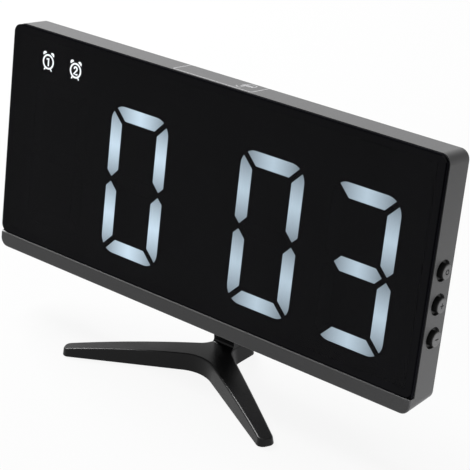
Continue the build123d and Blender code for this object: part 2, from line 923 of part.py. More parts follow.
def stand():
    """The stand: legs, heel, neck and the tongue that goes up into the pod, in one moulding."""
    low = Pos(0, 0, foot_gap) * stand_plan(0)
    high = Pos(0, 0, foot_gap + hub_height) * stand_plan(leg_draft)
    legs = loft([low, high], ruled=True)
    arch = Pos(0, 0, hub_height - leg_arch_r) * Rot(90, 0, 0) * Cylinder(leg_arch_r, case_width)
    legs &= arch
    crest = legs.faces().sort_by(Axis.Z)[-1]
    legs = fillet(crest.edges(), leg_edge_r)
    flare_y = neck_front_y - neck_flare_r
    flare_top = hub_height + neck_flare_r
    bend_front = stand_point(tongue_front, 0)
    bend_back = stand_point(tongue_back, 0)
    tip_front = stand_point(tongue_front, tongue_top)
    tip_back = stand_point(tongue_back, tongue_top)
    spread = neck_flare_r * (1 - cos(radians(45)))
    edges = [
        Line((flare_y, neck_root), (flare_y, hub_height)),
        ThreePointArc(
            (flare_y, hub_height), (neck_front_y - spread, hub_height + spread), (neck_front_y, flare_top)
        ),
        FilletPolyline(
            (neck_front_y, flare_top), (neck_front_y, flare_top + neck_straight), bend_front, tip_front,
            radius=[neck_straight, neck_bend_r],
        ),
        Line(tip_front, tip_back),
        FilletPolyline(
            tip_back, bend_back, (neck_back_y, hub_height), radius=[neck_bend_r + tongue_thick]
        ),
        Line((neck_back_y, hub_height), (neck_back_y, neck_root)),
        Line((neck_back_y, neck_root), (flare_y, neck_root)),
    ]
    profile = make_face(edges)
    side = Plane(origin=(-neck_half_width, 0, 0), x_dir=(0, 1, 0), z_dir=(1, 0, 0))
    body = legs + side * extrude(profile, 2 * neck_half_width)
    lock_y, lock_z = stand_point(tongue_back, lock_height)
    hole = Pos(0, lock_y, lock_z) * Rot(-case_lean, 0, 0) * Rot(90, 0, 0) * Cylinder(lock_hole_r, 2 * tongue_thick)
    body -= hole
    for x, y, radius in pad_places():
        body -= Pos(x, y, pad_thick / 2) * Cylinder(radius + pad_slip, pad_thick)
    return body


def lock_screw():
    """The screw through the pod's back that locks the stand's tongue."""
    return screw(0, lock_height, pod_back, lock_bite + pod_wall, lock_screw_r, lock_head_r, lock_head_thick, lock_slot, 1)


def pad_places():
    """Where the rubber feet sit: under both leg tips and the heel."""
    front, back = leg_tip()
    sweep = radians(leg_sweep)
    x = (front[0] + back[0]) / 2 - pad_tip_inset * cos(sweep)
    y = (front[1] + back[1]) / 2 + pad_tip_inset * sin(sweep)
    return [(-x, y, pad_r), (x, y, pad_r), (0, foot_back - heel_pad_r - heel_r / 2, heel_pad_r)]


def foot_pads():
    """The rubber feet, a little proud of the stand's underside."""
    return group([Pos(x, y, pad_thick / 2) * Cylinder(radius, pad_thick) for x, y, radius in pad_places()]
    )


def main():
    """Builds every piece, leans the case's pieces back and writes one file for each."""
    os.makedirs("parts", exist_ok=True)
    link_middle = board_back + (main_front - board_back) * link_plug_share
    case_pieces = {
        "front_case": front_case(),
        "front_lens": front_lens(),
        "display_mask": display_mask(),
        "lit_segments": window_fillers(bars_of(True, 0)),
        "dark_segments": window_fillers(bars_of(False, 0)),
        "colon_dots": window_fillers(colon_shapes(0)),
        "alarm_windows": window_fillers(sign_shapes(0)),
        "segment_reflector": segment_reflector(),
        "display_board": display_board(),
        "display_leds": display_leds(),
        "driver_chips": driver_chips(),
        "board_screws": board_screws(),
        "touch_plate": touch_plate(),
        "touch_spring": touch_spring(),
        "key_board": key_board(),
        "key_switches": key_switches(),
        "rear_cover": rear_cover(),
        "cover_screws": cover_screws(),
        "main_board": main_board(),
        "main_screws": main_screws(),
        "controller_chip": controller_chip(),
        "clock_crystal": clock_crystal(),
        "buzzer": buzzer(),
        "link_plug": link_half(board_back, link_middle, 0),
        "link_socket": link_half(link_middle, main_front, board_thick / 2),
        "power_socket": power_socket(),
        "socket_tongue": socket_tongue(),
        "backup_cell": backup_cell(),
        "cell_contacts": cell_contacts(),
        "cell_door": cell_door(),
        "lock_screw": lock_screw(),
    }
    for name, z, sign in zip(("set", "up", "down"), key_heights, ("dot", "plus", "minus")):
        case_pieces[f"{name}_key"] = key_cap(z, sign)
        case_pieces[f"{name}_plunger"] = key_plunger(z)
    leaned = Pos(0, chin_y, case_lift) * Rot(-case_lean, 0, 0)
    pieces = {name: leaned * piece for name, piece in case_pieces.items()}
    pieces["stand"] = stand()
    pieces["foot_pads"] = foot_pads()
    for name, piece in pieces.items():
        export_step(piece, f"parts/{name}.step")


main()
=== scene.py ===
"""Looks and studio stage of a leaning digital desk clock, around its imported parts."""

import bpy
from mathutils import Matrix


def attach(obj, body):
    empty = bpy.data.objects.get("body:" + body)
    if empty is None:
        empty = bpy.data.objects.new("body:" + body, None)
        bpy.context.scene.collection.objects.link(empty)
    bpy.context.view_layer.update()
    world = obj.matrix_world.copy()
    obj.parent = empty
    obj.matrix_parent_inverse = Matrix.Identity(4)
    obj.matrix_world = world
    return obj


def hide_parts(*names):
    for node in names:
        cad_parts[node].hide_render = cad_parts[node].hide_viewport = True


bl_info = {
    "name": "Leaning desk clock",
    "version": (1, 0, 0),
    "blender": (4, 5, 0),
    "location": "3D View > Sidebar > Desk clock",
    "description": "Finishes, lit digits, printed marks and a studio stage for a leaning digital desk clock",
    "category": "Object",
}

from math import atan2, cos, degrees, pi, radians, sin, sqrt

import bmesh
import bpy
from bpy.props import FloatProperty, FloatVectorProperty, PointerProperty
from mathutils import Matrix, Vector

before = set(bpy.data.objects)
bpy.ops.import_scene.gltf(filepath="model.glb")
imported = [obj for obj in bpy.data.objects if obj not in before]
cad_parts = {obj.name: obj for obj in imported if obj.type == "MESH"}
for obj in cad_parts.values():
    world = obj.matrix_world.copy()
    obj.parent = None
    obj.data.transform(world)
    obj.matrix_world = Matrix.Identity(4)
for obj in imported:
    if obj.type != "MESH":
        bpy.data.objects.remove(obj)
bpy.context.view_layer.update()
MM = 0.001


def length(name, description, millimetres):
    """A size that a user may change, in metres."""
    return FloatProperty(
        name=name, description=description, default=millimetres * MM, unit="LENGTH", precision=5
    )


def angle(name, description, turn):
    """An angle that a user may change, given in degrees and kept in radians."""
    return FloatProperty(name=name, description=description, default=radians(turn), unit="ROTATION")


def spot(name, description, value):
    """A place in the studio that a user may change, in metres."""
    return FloatVectorProperty(
        name=name, description=description, default=value, size=3, subtype="TRANSLATION", unit="LENGTH"
    )


def colour(name, description, value):
    """A colour that a user may change."""
    return FloatVectorProperty(
        name=name, description=description, default=value, subtype="COLOR", size=3, min=0, max=1
    )


def share(name, description, value, top=1.0):
    """A plain number that a user may change."""
    return FloatProperty(name=name, description=description, default=value, min=0, max=top)


class ClockSizes(bpy.types.PropertyGroup):
    """Sizes and places in the upright case, in metres."""

    lean: angle("Lean", "How far the case leans back", 9.4)
    lift: length("Lift", "Height of the chin's lower edge above the desk", 25.81)
    chin: length("Chin place", "Where the chin's front edge stands in the footprint", -8.95)
    case_height: length("Case height", "From the chin's lower edge to the top wall", 91.2)
    case_half_width: length("Case half width", "From the middle to a side wall", 100)
    lens_front: length("Lens front", "Depth of the lens's front face behind the chin", 0.2)
    lens_back: length("Lens back", "Depth of the lens's back face behind the chin", 1.0)
    lens_skin: length("Lens skin", "How near a face of the lens its finish starts", 0.1)
    lens_border: length("Lens border", "Width of the black print along the lens's edge", 3)
    lens_rim: length("Lens rim", "Width of the dull sawn rim along the lens's edge", 0.35)
    lens_foot: length("Lens foot", "Height of the lens's lower edge in the case", 6.3)
    mask_back: length("Mask back", "Depth of the mask's back face behind the chin", 2.6)
    digit_width: length("Digit width", "Across one digit", 28.4)
    digit_height: length("Digit height", "From the foot of a digit to its head", 57.3)
    digit_middle: length("Digit middle", "Height of the digits' middle in the case", 43.56)
    digit_near: length("Inner digit", "Middle of a digit next to the colon", 31.44)
    digit_far: length("Outer digit", "Middle of a digit at the end", 71.91)
    digit_shift: length("Digit shift", "How far the digits stand from the middle of the case", -0.5)
    digit_round: length("Digit corner", "Radius of a digit's outer corners", 6.2)
    bar: length("Bar", "Width of a lit bar", 5.4)
    bar_gap: length("Bar gap", "Between two bars, across their mitre", 2.1)
    bar_tip_gap: length("Bar tip gap", "Between the tips of two upright bars", 1.9)
    bar_tip_share: share("Bar tip place", "How far across an upright bar its tip stands", 0.42)
    bar_edge: length("Bar edge", "Rounding along a bar's edges", 0.12)
    sign_height: length("Sign height", "Height of the alarm signs' middle in the case", 79.75)
    sign_first: length("First sign", "Where the first alarm sign stands", -81.3)
    sign_pitch: length("Sign pitch", "Between the two alarm signs", 14.7)
    sign_line: length("Sign line", "Width of an alarm sign's line", 0.66)
    sign_gap: length("Sign gap", "Between an alarm sign and the lens's back face", 0.01)
    sign_thick: length("Sign thickness", "Thickness of an alarm sign", 0.05)
    sign_dial: length("Sign dial", "Outer radius of an alarm sign's dial", 2.97)
    sign_bell: length("Sign bell", "Radius of a bell", 1.0)
    sign_bell_reach: length("Bell place", "From the dial's middle to a bell's foot", 3.45)
    sign_bell_lean: angle("Bell lean", "Between a bell and the dial's top", 34)
    sign_foot_start: length("Foot start", "From the dial's middle to a foot's inner end", 2.9)
    sign_foot_end: length("Foot end", "From the dial's middle to a foot's tip", 3.7)
    sign_foot_lean: angle("Foot lean", "Between a foot and the dial's bottom", 30)
    sign_foot_share: share("Foot width", "Width of a foot as a share of the line", 0.8)
    touch_left: length("Touch left", "Left end of the printed touch field", -20.9)
    touch_right: length("Touch right", "Right end of the printed touch field", 15.8)
    touch_front: length("Touch front", "Front line of the printed touch field", 3.7)
    touch_back: length("Touch back", "Where the printed touch field ends at the back", 13.4)
    touch_line: length("Touch line", "Width of the printed line", 0.5)
    touch_bend: length("Touch bend", "Radius of the printed field's corners", 0.8)
    hand_inset: length("Hand inset", "From the printed field's right end to the hand", 5.6)
    hand_reach: length("Hand reach", "From the printed field's front line to the hand", 3.3)
    ink_sunk: length("Ink sunk", "How far the print reaches into the top wall", 0.01)
    ink_proud: length("Ink proud", "How far the print stands on the top wall", 0.03)
    # Painted shade starts this far down a key's side, below the satin face.
    key_painted_shade_edge: length("Key paint", "How far the satin face reaches down a key's side", 0.14)
    key_face: length("Key face", "How far the side keys' faces stand from the middle", 101.7)


class ClockColours(bpy.types.PropertyGroup):
    """Colours and finishes of the clock."""

    case: colour("Case", "Satin charcoal of the case", (0.045, 0.045, 0.046))
    key: colour("Key", "Satin charcoal of a key's face", (0.0765, 0.0765, 0.0782))
    # Painted shade: the black of a key's skirt and cut sign stands for the shade in the key's hole.
    key_skirt_painted_shade: colour("Key skirt", "Bare black of a key's skirt and cut sign", (0.0035, 0.0035, 0.0036))
    case_rough: share("Case roughness", "How dull the case is", 0.40)
    stand: colour("Stand", "Satin black of the stand", (0.0045, 0.0045, 0.0048))
    stand_rough: share("Stand roughness", "How dull the stand is", 0.32)
    back: colour("Back", "Grained black of the rear cover", (0.015, 0.015, 0.016))
    lens: colour("Lens", "Smoked acrylic of the lens", (0.004, 0.004, 0.005))
    lens_cover: share("Lens density", "How much of what is behind the lens it hides", 0.51)
    mask: colour("Mask", "Matt black of the mask", (0.004, 0.004, 0.005))
    glow: colour("Glow", "Light of the lit bars", (0.68, 0.855, 1.0))
    glow_fall: share("Glow fall", "How much dimmer a lit bar is at its ends", 0.64)
    glow_loss: share("Glow loss", "How much dimmer the right-hand pair of digits is", 0.22)
    glow_level: share("Glow level", "How bright a lit bar is in its middle", 1.73, 10)
    sign_glow: colour("Sign glow", "Light of the alarm signs", (0.93, 0.97, 1.0))
    sign_level: share("Sign level", "How bright the alarm signs are", 2.2, 10)
    ink: colour("Ink", "Pale print on the top wall", (0.20, 0.20, 0.205))
    board: colour("Board", "Solder mask of the circuit boards", (0.018, 0.115, 0.052))
    white: colour("White plastic", "Reflector and plug housings", (0.78, 0.78, 0.76))
    phosphor: colour("Phosphor", "Lens of a lamp that is off", (0.80, 0.72, 0.36))
    steel: colour("Steel", "Zinc-plated screws", (0.55, 0.55, 0.56))
    nickel: colour("Nickel", "Bright plated shells", (0.70, 0.70, 0.71))
    brass: colour("Brass", "Contacts and springs", (0.72, 0.55, 0.27))
    rubber: colour("Rubber", "Feet under the stand", (0.024, 0.024, 0.025))
    floor: colour("Floor", "Pale studio floor", (0.30, 0.30, 0.30))


class ClockStage(bpy.types.PropertyGroup):
    """Camera and light."""

    eye: spot("Eye", "Where the camera stands", (0.36950, -0.41339, 0.33071))
    gaze: FloatVectorProperty(
        name="Gaze", description="Which way the camera looks", size=3, subtype="DIRECTION",
        default=(-0.5827776, 0.6827324, -0.4407344),
    )
    focal: FloatProperty(
        name="Focal length", description="Camera lens in millimetres", default=130.135, min=1
    )
    ambient: share("Ambient", "Level of the even light from all round", 0.20, 5)
    top_light: share("Top light", "Power of the soft box above on the left, in watts", 46, 500)
    top_spot: spot("Top place", "Where the soft box hangs", (-0.75, 0.15, 0.90))
    top_aim: spot("Top aim", "Where the soft box points", (0, 0.01, 0.06))
    top_size: share("Top size", "Width of the soft box in metres", 0.6, 5)
    side_light: share("Side light", "Power of the low strip on the right, in watts", 0.34, 500)
    side_spot: spot("Side place", "Where the low strip lies", (0.20, 0.02, 0.014))
    side_aim: spot("Side aim", "Where the low strip points", (0.10, 0.01, 0.02))
    side_length: share("Side length", "Length of the low strip in metres", 0.3, 5)
    side_height: share("Side height", "Height of the low strip in metres", 0.026, 5)
    floor_radius: share("Floor radius", "Radius of the studio floor in metres", 3.0, 20)
    floor_drop: length("Floor drop", "How far the floor lies under the feet", 0.1)
    floor_white: share("Floor white", "How much of the floor is plain white to the camera", 0.91)


class Wire:
    """A socket in a material, on which Python's operators add Math nodes."""

    def __init__(self, paint, socket):
        self.paint = paint
        self.socket = socket

    def __add__(self, other):
        return self.paint.maths("ADD", self, other)

    __radd__ = __add__

    def __sub__(self, other):
        return self.paint.maths("SUBTRACT", self, other)

    def __rsub__(self, other):
        return self.paint.maths("SUBTRACT", other, self)

    def __mul__(self, other):
        return self.paint.maths("MULTIPLY", self, other)

    __rmul__ = __mul__

    def __gt__(self, other):
        return self.paint.maths("GREATER_THAN", self, other)

    def __lt__(self, other):
        return self.paint.maths("LESS_THAN", self, other)

    def __abs__(self):
        return self.paint.maths("ABSOLUTE", self)


class Paint:
    """A node-based finish under construction."""

    def __init__(self, owner):
        owner.use_nodes = True
        self.owner = owner
        self.tree = owner.node_tree
        self.tree.nodes.clear()

    def node(self, kind, settings=None, inputs=None, output=0):
        """Adds a node: its settings first, then the values or links of its sockets."""
        made = self.tree.nodes.new(kind)
        for key, value in (settings or {}).items():
            setattr(made, key, value)
        for key, value in (inputs or {}).items():
            if isinstance(value, Wire):
                self.tree.links.new(value.socket, made.inputs[key])
            else:
                made.inputs[key].default_value = value
        return Wire(self, made.outputs[output]) if made.outputs else made

    def most(self, *values):
        """The largest of several values."""
        largest = values[0]
        for value in values[1:]:
            largest = self.maths("MAXIMUM", largest, value)
        return largest

    def maths(self, operation, *values):
        return self.node("ShaderNodeMath", {"operation": operation}, dict(enumerate(values)))

    def mix(self, factor, first, second):
        """Two colours mixed by a factor."""
        first, second = (c if isinstance(c, Wire) else (*c[:3], 1.0) for c in (first, second))
        settings = {"data_type": "RGBA", "clamp_factor": True}
        return self.node("ShaderNodeMix", settings, {0: factor, 6: first, 7: second}, 2)

    def tone(self, tint, low, high, factor):
        """A colour made darker to lighter by a factor."""
        return self.mix(factor, [c * low for c in tint], [c * high for c in tint])

    def place(self):
        return self.node("ShaderNodeTexCoord", output="Object")

    def parts(self):
        """The three coordinates of a place on the piece."""
        split = self.node("ShaderNodeSeparateXYZ", inputs={0: self.place()})
        return [Wire(self, s) for s in split.socket.node.outputs]

    def noise(self, scale, detail=2.0, rough=0.5, stretch=(1, 1, 1), turn=(0, 0, 0)):
        spread = self.node(
            "ShaderNodeMapping", inputs={"Vector": self.place(), "Rotation": turn, "Scale": stretch}
        )
        return self.node(
            "ShaderNodeTexNoise",
            inputs={"Vector": spread, "Scale": scale, "Detail": detail, "Roughness": rough},
        )

    def bump(self, height, strength, distance):
        return self.node(
            "ShaderNodeBump", inputs={"Strength": strength, "Distance": distance, "Height": height}
        )

    def surface(self, **sockets):
        """The finish's own shader and its output."""
        values = {}
        for key, value in sockets.items():
            key = key.replace("_", " ").replace("ior", "IOR")
            if isinstance(value, (tuple, list)) and len(value) == 3:
                value = (*value, 1.0)
            values[key] = value
        shader = self.node("ShaderNodeBsdfPrincipled", inputs=values)
        self.node("ShaderNodeOutputMaterial", inputs={"Surface": shader})
        return self.owner


def finish(name):
    """A new material under construction."""
    return Paint(bpy.data.materials.new(name))


def moulded(name, tint, rough, specular, grain=0.25, scale=2600.0):
    """Moulded plastic with a fine spark-eroded grain and slightly uneven gloss."""
    paint = finish(name)
    fine = paint.noise(scale, 3.0, 0.6)
    broad = paint.noise(38.0, 3.0, 0.55)
    return paint.surface(
        Base_Color=paint.tone(tint, 0.9, 1.1, broad * 0.5 + fine * 0.5),
        Roughness=rough - 0.08 + broad * 0.08 + fine * 0.08,
        Specular_ior_Level=specular,
        Normal=paint.bump(fine, grain, 0.00012),
    )


def key_satin_and_painted_shade(colours, sizes):
    """A key's satin face with painted shade below it: its skirt and its cut sign are black."""
    paint = finish("key_satin_and_painted_shade")
    fine = paint.noise(2600.0, 3.0, 0.6)
    x = paint.parts()[0]
    # Painted shade: all below the face, the skirt and the cut sign, is black where the key's hole lies in
    # shade.
    face = x > sizes.key_face - sizes.key_painted_shade_edge
    return paint.surface(
        Base_Color=paint.mix(face, colours.key_skirt_painted_shade, paint.tone(colours.key, 0.882, 1.118, fine)),
        Roughness=0.36 + fine * 0.08,
        Specular_ior_Level=0.25,
        Normal=paint.bump(fine, 0.15, 0.00012),
    )


def lens_acrylic(colours, sizes):
    """Smoked acrylic: a polished front with a trace of wiped dust, a clear back and a printed border."""
    paint = finish("smoked_lens")
    haze = paint.noise(55.0, 4.0, 0.6, (1, 1, 0.35), (0, 0.5, 0))
    x, y, z = paint.parts()
    rise = (y - sizes.chin) * sin(sizes.lean) + (z - sizes.lift) * cos(sizes.lean)
    depth = (y - sizes.chin) * cos(sizes.lean) - (z - sizes.lift) * sin(sizes.lean)
    back = depth > sizes.lens_back - sizes.lens_skin
    wall = (depth > sizes.lens_front + sizes.lens_skin) * (1 - back)

    def along_edge(width):
        """One within a width of the lens's edge."""
        return paint.most(
            abs(x) > sizes.case_half_width - width,
            rise > sizes.case_height - width,
            rise < sizes.lens_foot + width,
        )

    border = along_edge(sizes.lens_border)
    rim = along_edge(sizes.lens_rim)
    face_tint = paint.tone(colours.lens, 0.8, 1.25, haze)
    wall_tint = [c * 0.3 for c in colours.lens]
    return paint.surface(
        Base_Color=paint.mix(wall, face_tint, wall_tint),
        Roughness=0.4 + haze * 0.1,
        Specular_ior_Level=0.0,
        Coat_Weight=(1 - rim) * (1 - border * 0.6) * (0.22 + haze * 0.05),
        Coat_Roughness=0.06,
        Alpha=paint.most(border, (1 - back) * colours.lens_cover),
    )


def printed_mask(colours):
    """Matt black screen print with a fine tooth."""
    paint = finish("mask_print")
    tooth = paint.noise(5200.0, 2.0)
    return paint.surface(
        Base_Color=paint.tone(colours.mask, 0.85, 1.15, tooth),
        Roughness=0.55 + tooth * 0.15,
        Specular_ior_Level=0.0,
        Normal=paint.bump(tooth, 0.15, 0.00004),
    )


def lit_filler(colours):
    """Milky bar lit from behind: bright in the middle, dimmer at its ends and in the right-hand digits."""
    paint = finish("lit_bar")
    along = paint.node("ShaderNodeAttribute", {"attribute_name": "along"}, output="Fac")
    milk = paint.noise(900.0, 3.0)
    ends = paint.maths("POWER", abs(along), 1.2)
    right = paint.parts()[0] > 0.0
    level = (1 - colours.glow_fall * ends) * (0.97 + milk * 0.03) * (1 - right * colours.glow_loss)
    black = (0.0, 0.0, 0.0)
    return paint.surface(
        Base_Color=paint.tone((0.20, 0.21, 0.22), 0.95, 1.05, milk),
        Roughness=0.35 + milk * 0.1,
        Specular_ior_Level=0.2,
        Emission_Color=paint.mix(level, black, colours.glow),
        Emission_Strength=colours.glow_level,
    )


def sign_light(colours):
    """Lit line of an alarm sign."""
    paint = finish("sign_light")
    milk = paint.noise(1500.0, 2.0)
    return paint.surface(
        Base_Color=paint.tone((0.6, 0.62, 0.64), 0.95, 1.05, milk),
        Roughness=0.4 + milk * 0.1,
        Specular_ior_Level=0.2,
        Emission_Color=paint.tone(colours.sign_glow, 0.96, 1.0, milk),
        Emission_Strength=colours.sign_level,
    )


def dark_filler(colours):
    """Smoked filler of a bar that is off, as dark as the mask about it."""
    paint = finish("dark_bar")
    cloud = paint.noise(420.0, 3.0)
    return paint.surface(
        Base_Color=paint.tone(colours.mask, 0.9, 1.1, cloud),
        Roughness=0.55 + cloud * 0.12,
        Specular_ior_Level=0.0,
    )


def printed_ink(colours):
    """Pale pad print, a little broken by the grain under it."""
    paint = finish("pad_print")
    fine = paint.noise(2600.0, 3.0, 0.6)
    return paint.surface(
        Base_Color=paint.tone(colours.ink, 0.88, 1.08, fine),
        Roughness=0.5 + fine * 0.15,
        Specular_ior_Level=0.4,
        Normal=paint.bump(fine, 0.15, 0.00005),
    )


def white_moulding(colours):
    """Matt white plastic with faint flow marks."""
    paint = finish("white_moulding")
    flow = paint.noise(60.0, 3.0, 0.6, (1, 1, 3))
    return paint.surface(
        Base_Color=paint.tone(colours.white, 0.94, 1.03, flow),
        Roughness=0.48 + flow * 0.1,
        Normal=paint.bump(paint.noise(1800.0), 0.12, 0.00005),
    )


def circuit_board(colours):
    """Solder mask with copper tracks showing paler beneath it and a woven core."""
    paint = finish("circuit_board")
    x, y, z = paint.parts()
    wander = paint.noise(140.0, 1.0)
    rows = paint.maths("PINGPONG", z * 380.0 + wander * 1.6, 0.5)
    lanes = paint.maths("PINGPONG", (x + y) * 300.0 + wander * 1.2, 0.5)
    zone = paint.noise(45.0, 0.0) > 0.5
    tracks = (rows < 0.16) * zone + (lanes < 0.14) * (1 - zone)
    weave = paint.noise(1400.0, 1.0)
    green = paint.tone(colours.board, 0.85, 1.1, weave)
    copper = [c * 1.7 + 0.012 for c in colours.board]
    return paint.surface(
        Base_Color=paint.mix(tracks * 0.8, green, copper),
        Roughness=0.32 + weave * 0.12,
        Normal=paint.bump(tracks + weave * 0.2, 0.2, 0.00006),
    )


def chip_resin():
    """Moulded black resin of chips and switches."""
    paint = finish("chip_resin")
    fleck = paint.noise(2200.0, 4.0, 0.7)
    return paint.surface(
        Base_Color=paint.tone((0.016, 0.016, 0.017), 0.75, 1.35, fleck),
        Roughness=0.55 + fleck * 0.15,
        Normal=paint.bump(fleck, 0.25, 0.00008),
    )


def plated(name, tint, rough, stretch, tarnish):
    """Plated or bare metal with drawn lines and a breath of tarnish."""
    paint = finish(name)
    lines = paint.noise(900.0, 3.0, 0.6, stretch)
    cloud = paint.noise(160.0, 3.0)
    worn = [c * tarnish for c in tint]
    return paint.surface(
        Base_Color=paint.mix(cloud * 0.6, tint, worn),
        Metallic=1.0,
        Roughness=rough + lines * 0.14,
        Normal=paint.bump(lines, 0.1, 0.00004),
    )


def lamp_resin(colours):
    """Phosphor-filled resin of a lamp that is off."""
    paint = finish("lamp_resin")
    grit = paint.noise(3500.0, 2.0)
    return paint.surface(
        Base_Color=paint.tone(colours.phosphor, 0.9, 1.05, grit),
        Roughness=0.3 + grit * 0.15,
        Coat_Weight=0.3,
    )


def foot_rubber(colours):
    """Matt rubber with a dusty bloom."""
    paint = finish("foot_rubber")
    bloom = paint.noise(220.0, 4.0, 0.65)
    fine = paint.noise(2400.0, 2.0)
    return paint.surface(
        Base_Color=paint.tone(colours.rubber, 0.8, 1.5, bloom),
        Roughness=0.78 + bloom * 0.12,
        Specular_ior_Level=0.3,
        Normal=paint.bump(fine, 0.3, 0.00008),
    )


def dress(material, *names):
    """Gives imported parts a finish, and leaves their shapes alone."""
    for name in names:
        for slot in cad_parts[name].material_slots:
            slot.material = material


def case_place(sizes):
    """From the upright case to where it leans on its stand."""
    return Matrix.Translation((0, sizes.chin, sizes.lift)) @ Matrix.Rotation(-sizes.lean, 4, "X")


def add_piece(name, mesh, material, body="clock", stands_for=()):
    """Puts a finished mesh into the scene on the body that carries it."""
    mesh.name = name
    mesh.materials.clear()
    mesh.materials.append(material)
    piece = bpy.data.objects.new(name, mesh)
    bpy.context.scene.collection.objects.link(piece)
    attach(piece, body)
    if stands_for:
        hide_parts(*stands_for)
    return piece


def around(centre, radius, turn):
    """A point at a distance and an angle, in degrees, from a centre."""
    return (centre[0] + radius * cos(radians(turn)), centre[1] + radius * sin(radians(turn)))


def arc(centre, radius, start, end, steps):
    """Points of an arc, angles in degrees."""
    return [around(centre, radius, start + (end - start) * i / steps) for i in range(steps + 1)]


def ribbon(path, width, steps=6):
    """Outline of a line of even width with round ends along a path."""
    half = width / 2
    sides = ([], [])
    for i, point in enumerate(path):
        before = path[max(i - 1, 0)]
        after = path[min(i + 1, len(path) - 1)]
        way = Vector((after[0] - before[0], after[1] - before[1])).normalized()
        for side, sign in zip(sides, (1, -1)):
            side.append((point[0] - sign * way.y * half, point[1] + sign * way.x * half))
    ends = []
    for tip, inner in ((path[-1], path[-2]), (path[0], path[1])):
        facing = atan2(tip[1] - inner[1], tip[0] - inner[0]) * 180 / pi
        ends.append(arc(tip, half, facing + 90, facing - 90, steps)[1:-1])
    return sides[0] + ends[0] + sides[1][::-1] + ends[1]


def ring(centre, outer, inner, steps=48):
    """Two circles as the faces between them."""
    rim = arc(centre, outer, 0, 360, steps)[:-1]
    bore = arc(centre, inner, 0, 360, steps)[:-1]
    return [(rim[i], rim[(i + 1) % steps], bore[(i + 1) % steps], bore[i]) for i in range(steps)]


def flat_plate(faces, near, far, lay):
    """Flat faces made into one closed plate; lay puts a point of the plan and a depth into the case."""
    shell = bmesh.new()
    seen = {}
    for face in faces:
        corners = []
        for point in face:
            key = (round(point[0], 7), round(point[1], 7))
            if key not in seen:
                seen[key] = shell.verts.new(lay(point, far))
            corners.append(seen[key])
        shell.faces.new(corners)
    grown = bmesh.ops.extrude_face_region(shell, geom=shell.faces[:], use_keep_orig=True)
    moved = [g for g in grown["geom"] if isinstance(g, bmesh.types.BMVert)]
    shift = Vector(lay((0, 0), near)) - Vector(lay((0, 0), far))
    bmesh.ops.translate(shell, verts=moved, vec=shift)
    bmesh.ops.recalc_face_normals(shell, faces=shell.faces[:])
    mesh = bpy.data.meshes.new("plate")
    shell.to_mesh(mesh)
    shell.free()
    return mesh


def on_front(point, depth):
    return (point[0], depth, point[1])


def on_top(point, height):
    return (point[0], point[1], height)


def joined(meshes):
    """Several meshes as one."""
    shell = bmesh.new()
    for mesh in meshes:
        shell.from_mesh(mesh)
        bpy.data.meshes.remove(mesh)
    whole = bpy.data.meshes.new("whole")
    shell.to_mesh(whole)
    shell.free()
    return whole


def eased(mesh, width, steps=2):
    """Rounds a plate's edges where two faces meet sharply."""
    shell = bmesh.new()
    shell.from_mesh(mesh)
    sharp = [e for e in shell.edges if e.calc_face_angle(0) > radians(60)]
    bmesh.ops.bevel(shell, geom=sharp, offset=width, segments=steps, profile=0.5, affect="EDGES")
    shell.to_mesh(mesh)
    shell.free()
    return mesh


def smooth(mesh, sharp):
    """Smooth shading, with edges sharper than an angle kept."""
    mesh.shade_smooth()
    mesh.set_sharp_from_angle(angle=radians(sharp))
    return mesh


def set_at(centre, points):
    """Points given in millimetres about a centre."""
    return [(centre[0] + x * MM, centre[1] + y * MM) for x, y in points]


def numeral(number, centre, width):
    """Outline of a drawn one or two about its middle; numbers count from nought."""
    one = [(-0.7, 0.95), (0.1, 1.4), (0.1, -1.4)]
    two = arc((0, 0.62), 0.75, 165, -35, 10) + [(-0.85, -1.38), (0.85, -1.38)]
    return ribbon(set_at(centre, (one, two)[number]), width)


def tapping_hand(tip):
    """Outlines of a small pointing hand with a ripple at its finger."""
    strokes = [
        ([(-1.7, 0.1), (-1.7, 3.2)], 0.95),
        ([(-0.6, 1.9), (-0.6, 3.2)], 0.9),
        ([(0.4, 2.0), (0.4, 3.2)], 0.9),
        ([(1.4, 2.1), (1.4, 3.2)], 0.9),
        ([(-2.3, 3.4), (-3.0, 2.5)], 0.8),
        ([(-2.3, 3.4), (-2.0, 4.4), (-1.0, 5.3), (1.2, 5.3), (1.85, 4.2), (1.85, 2.9)], 0.5),
        (arc((-1.7, 0.1), 1.7, 195, 300, 12), 0.5),
    ]
    return [ribbon(set_at(tip, points), width * MM) for points, width in strokes]


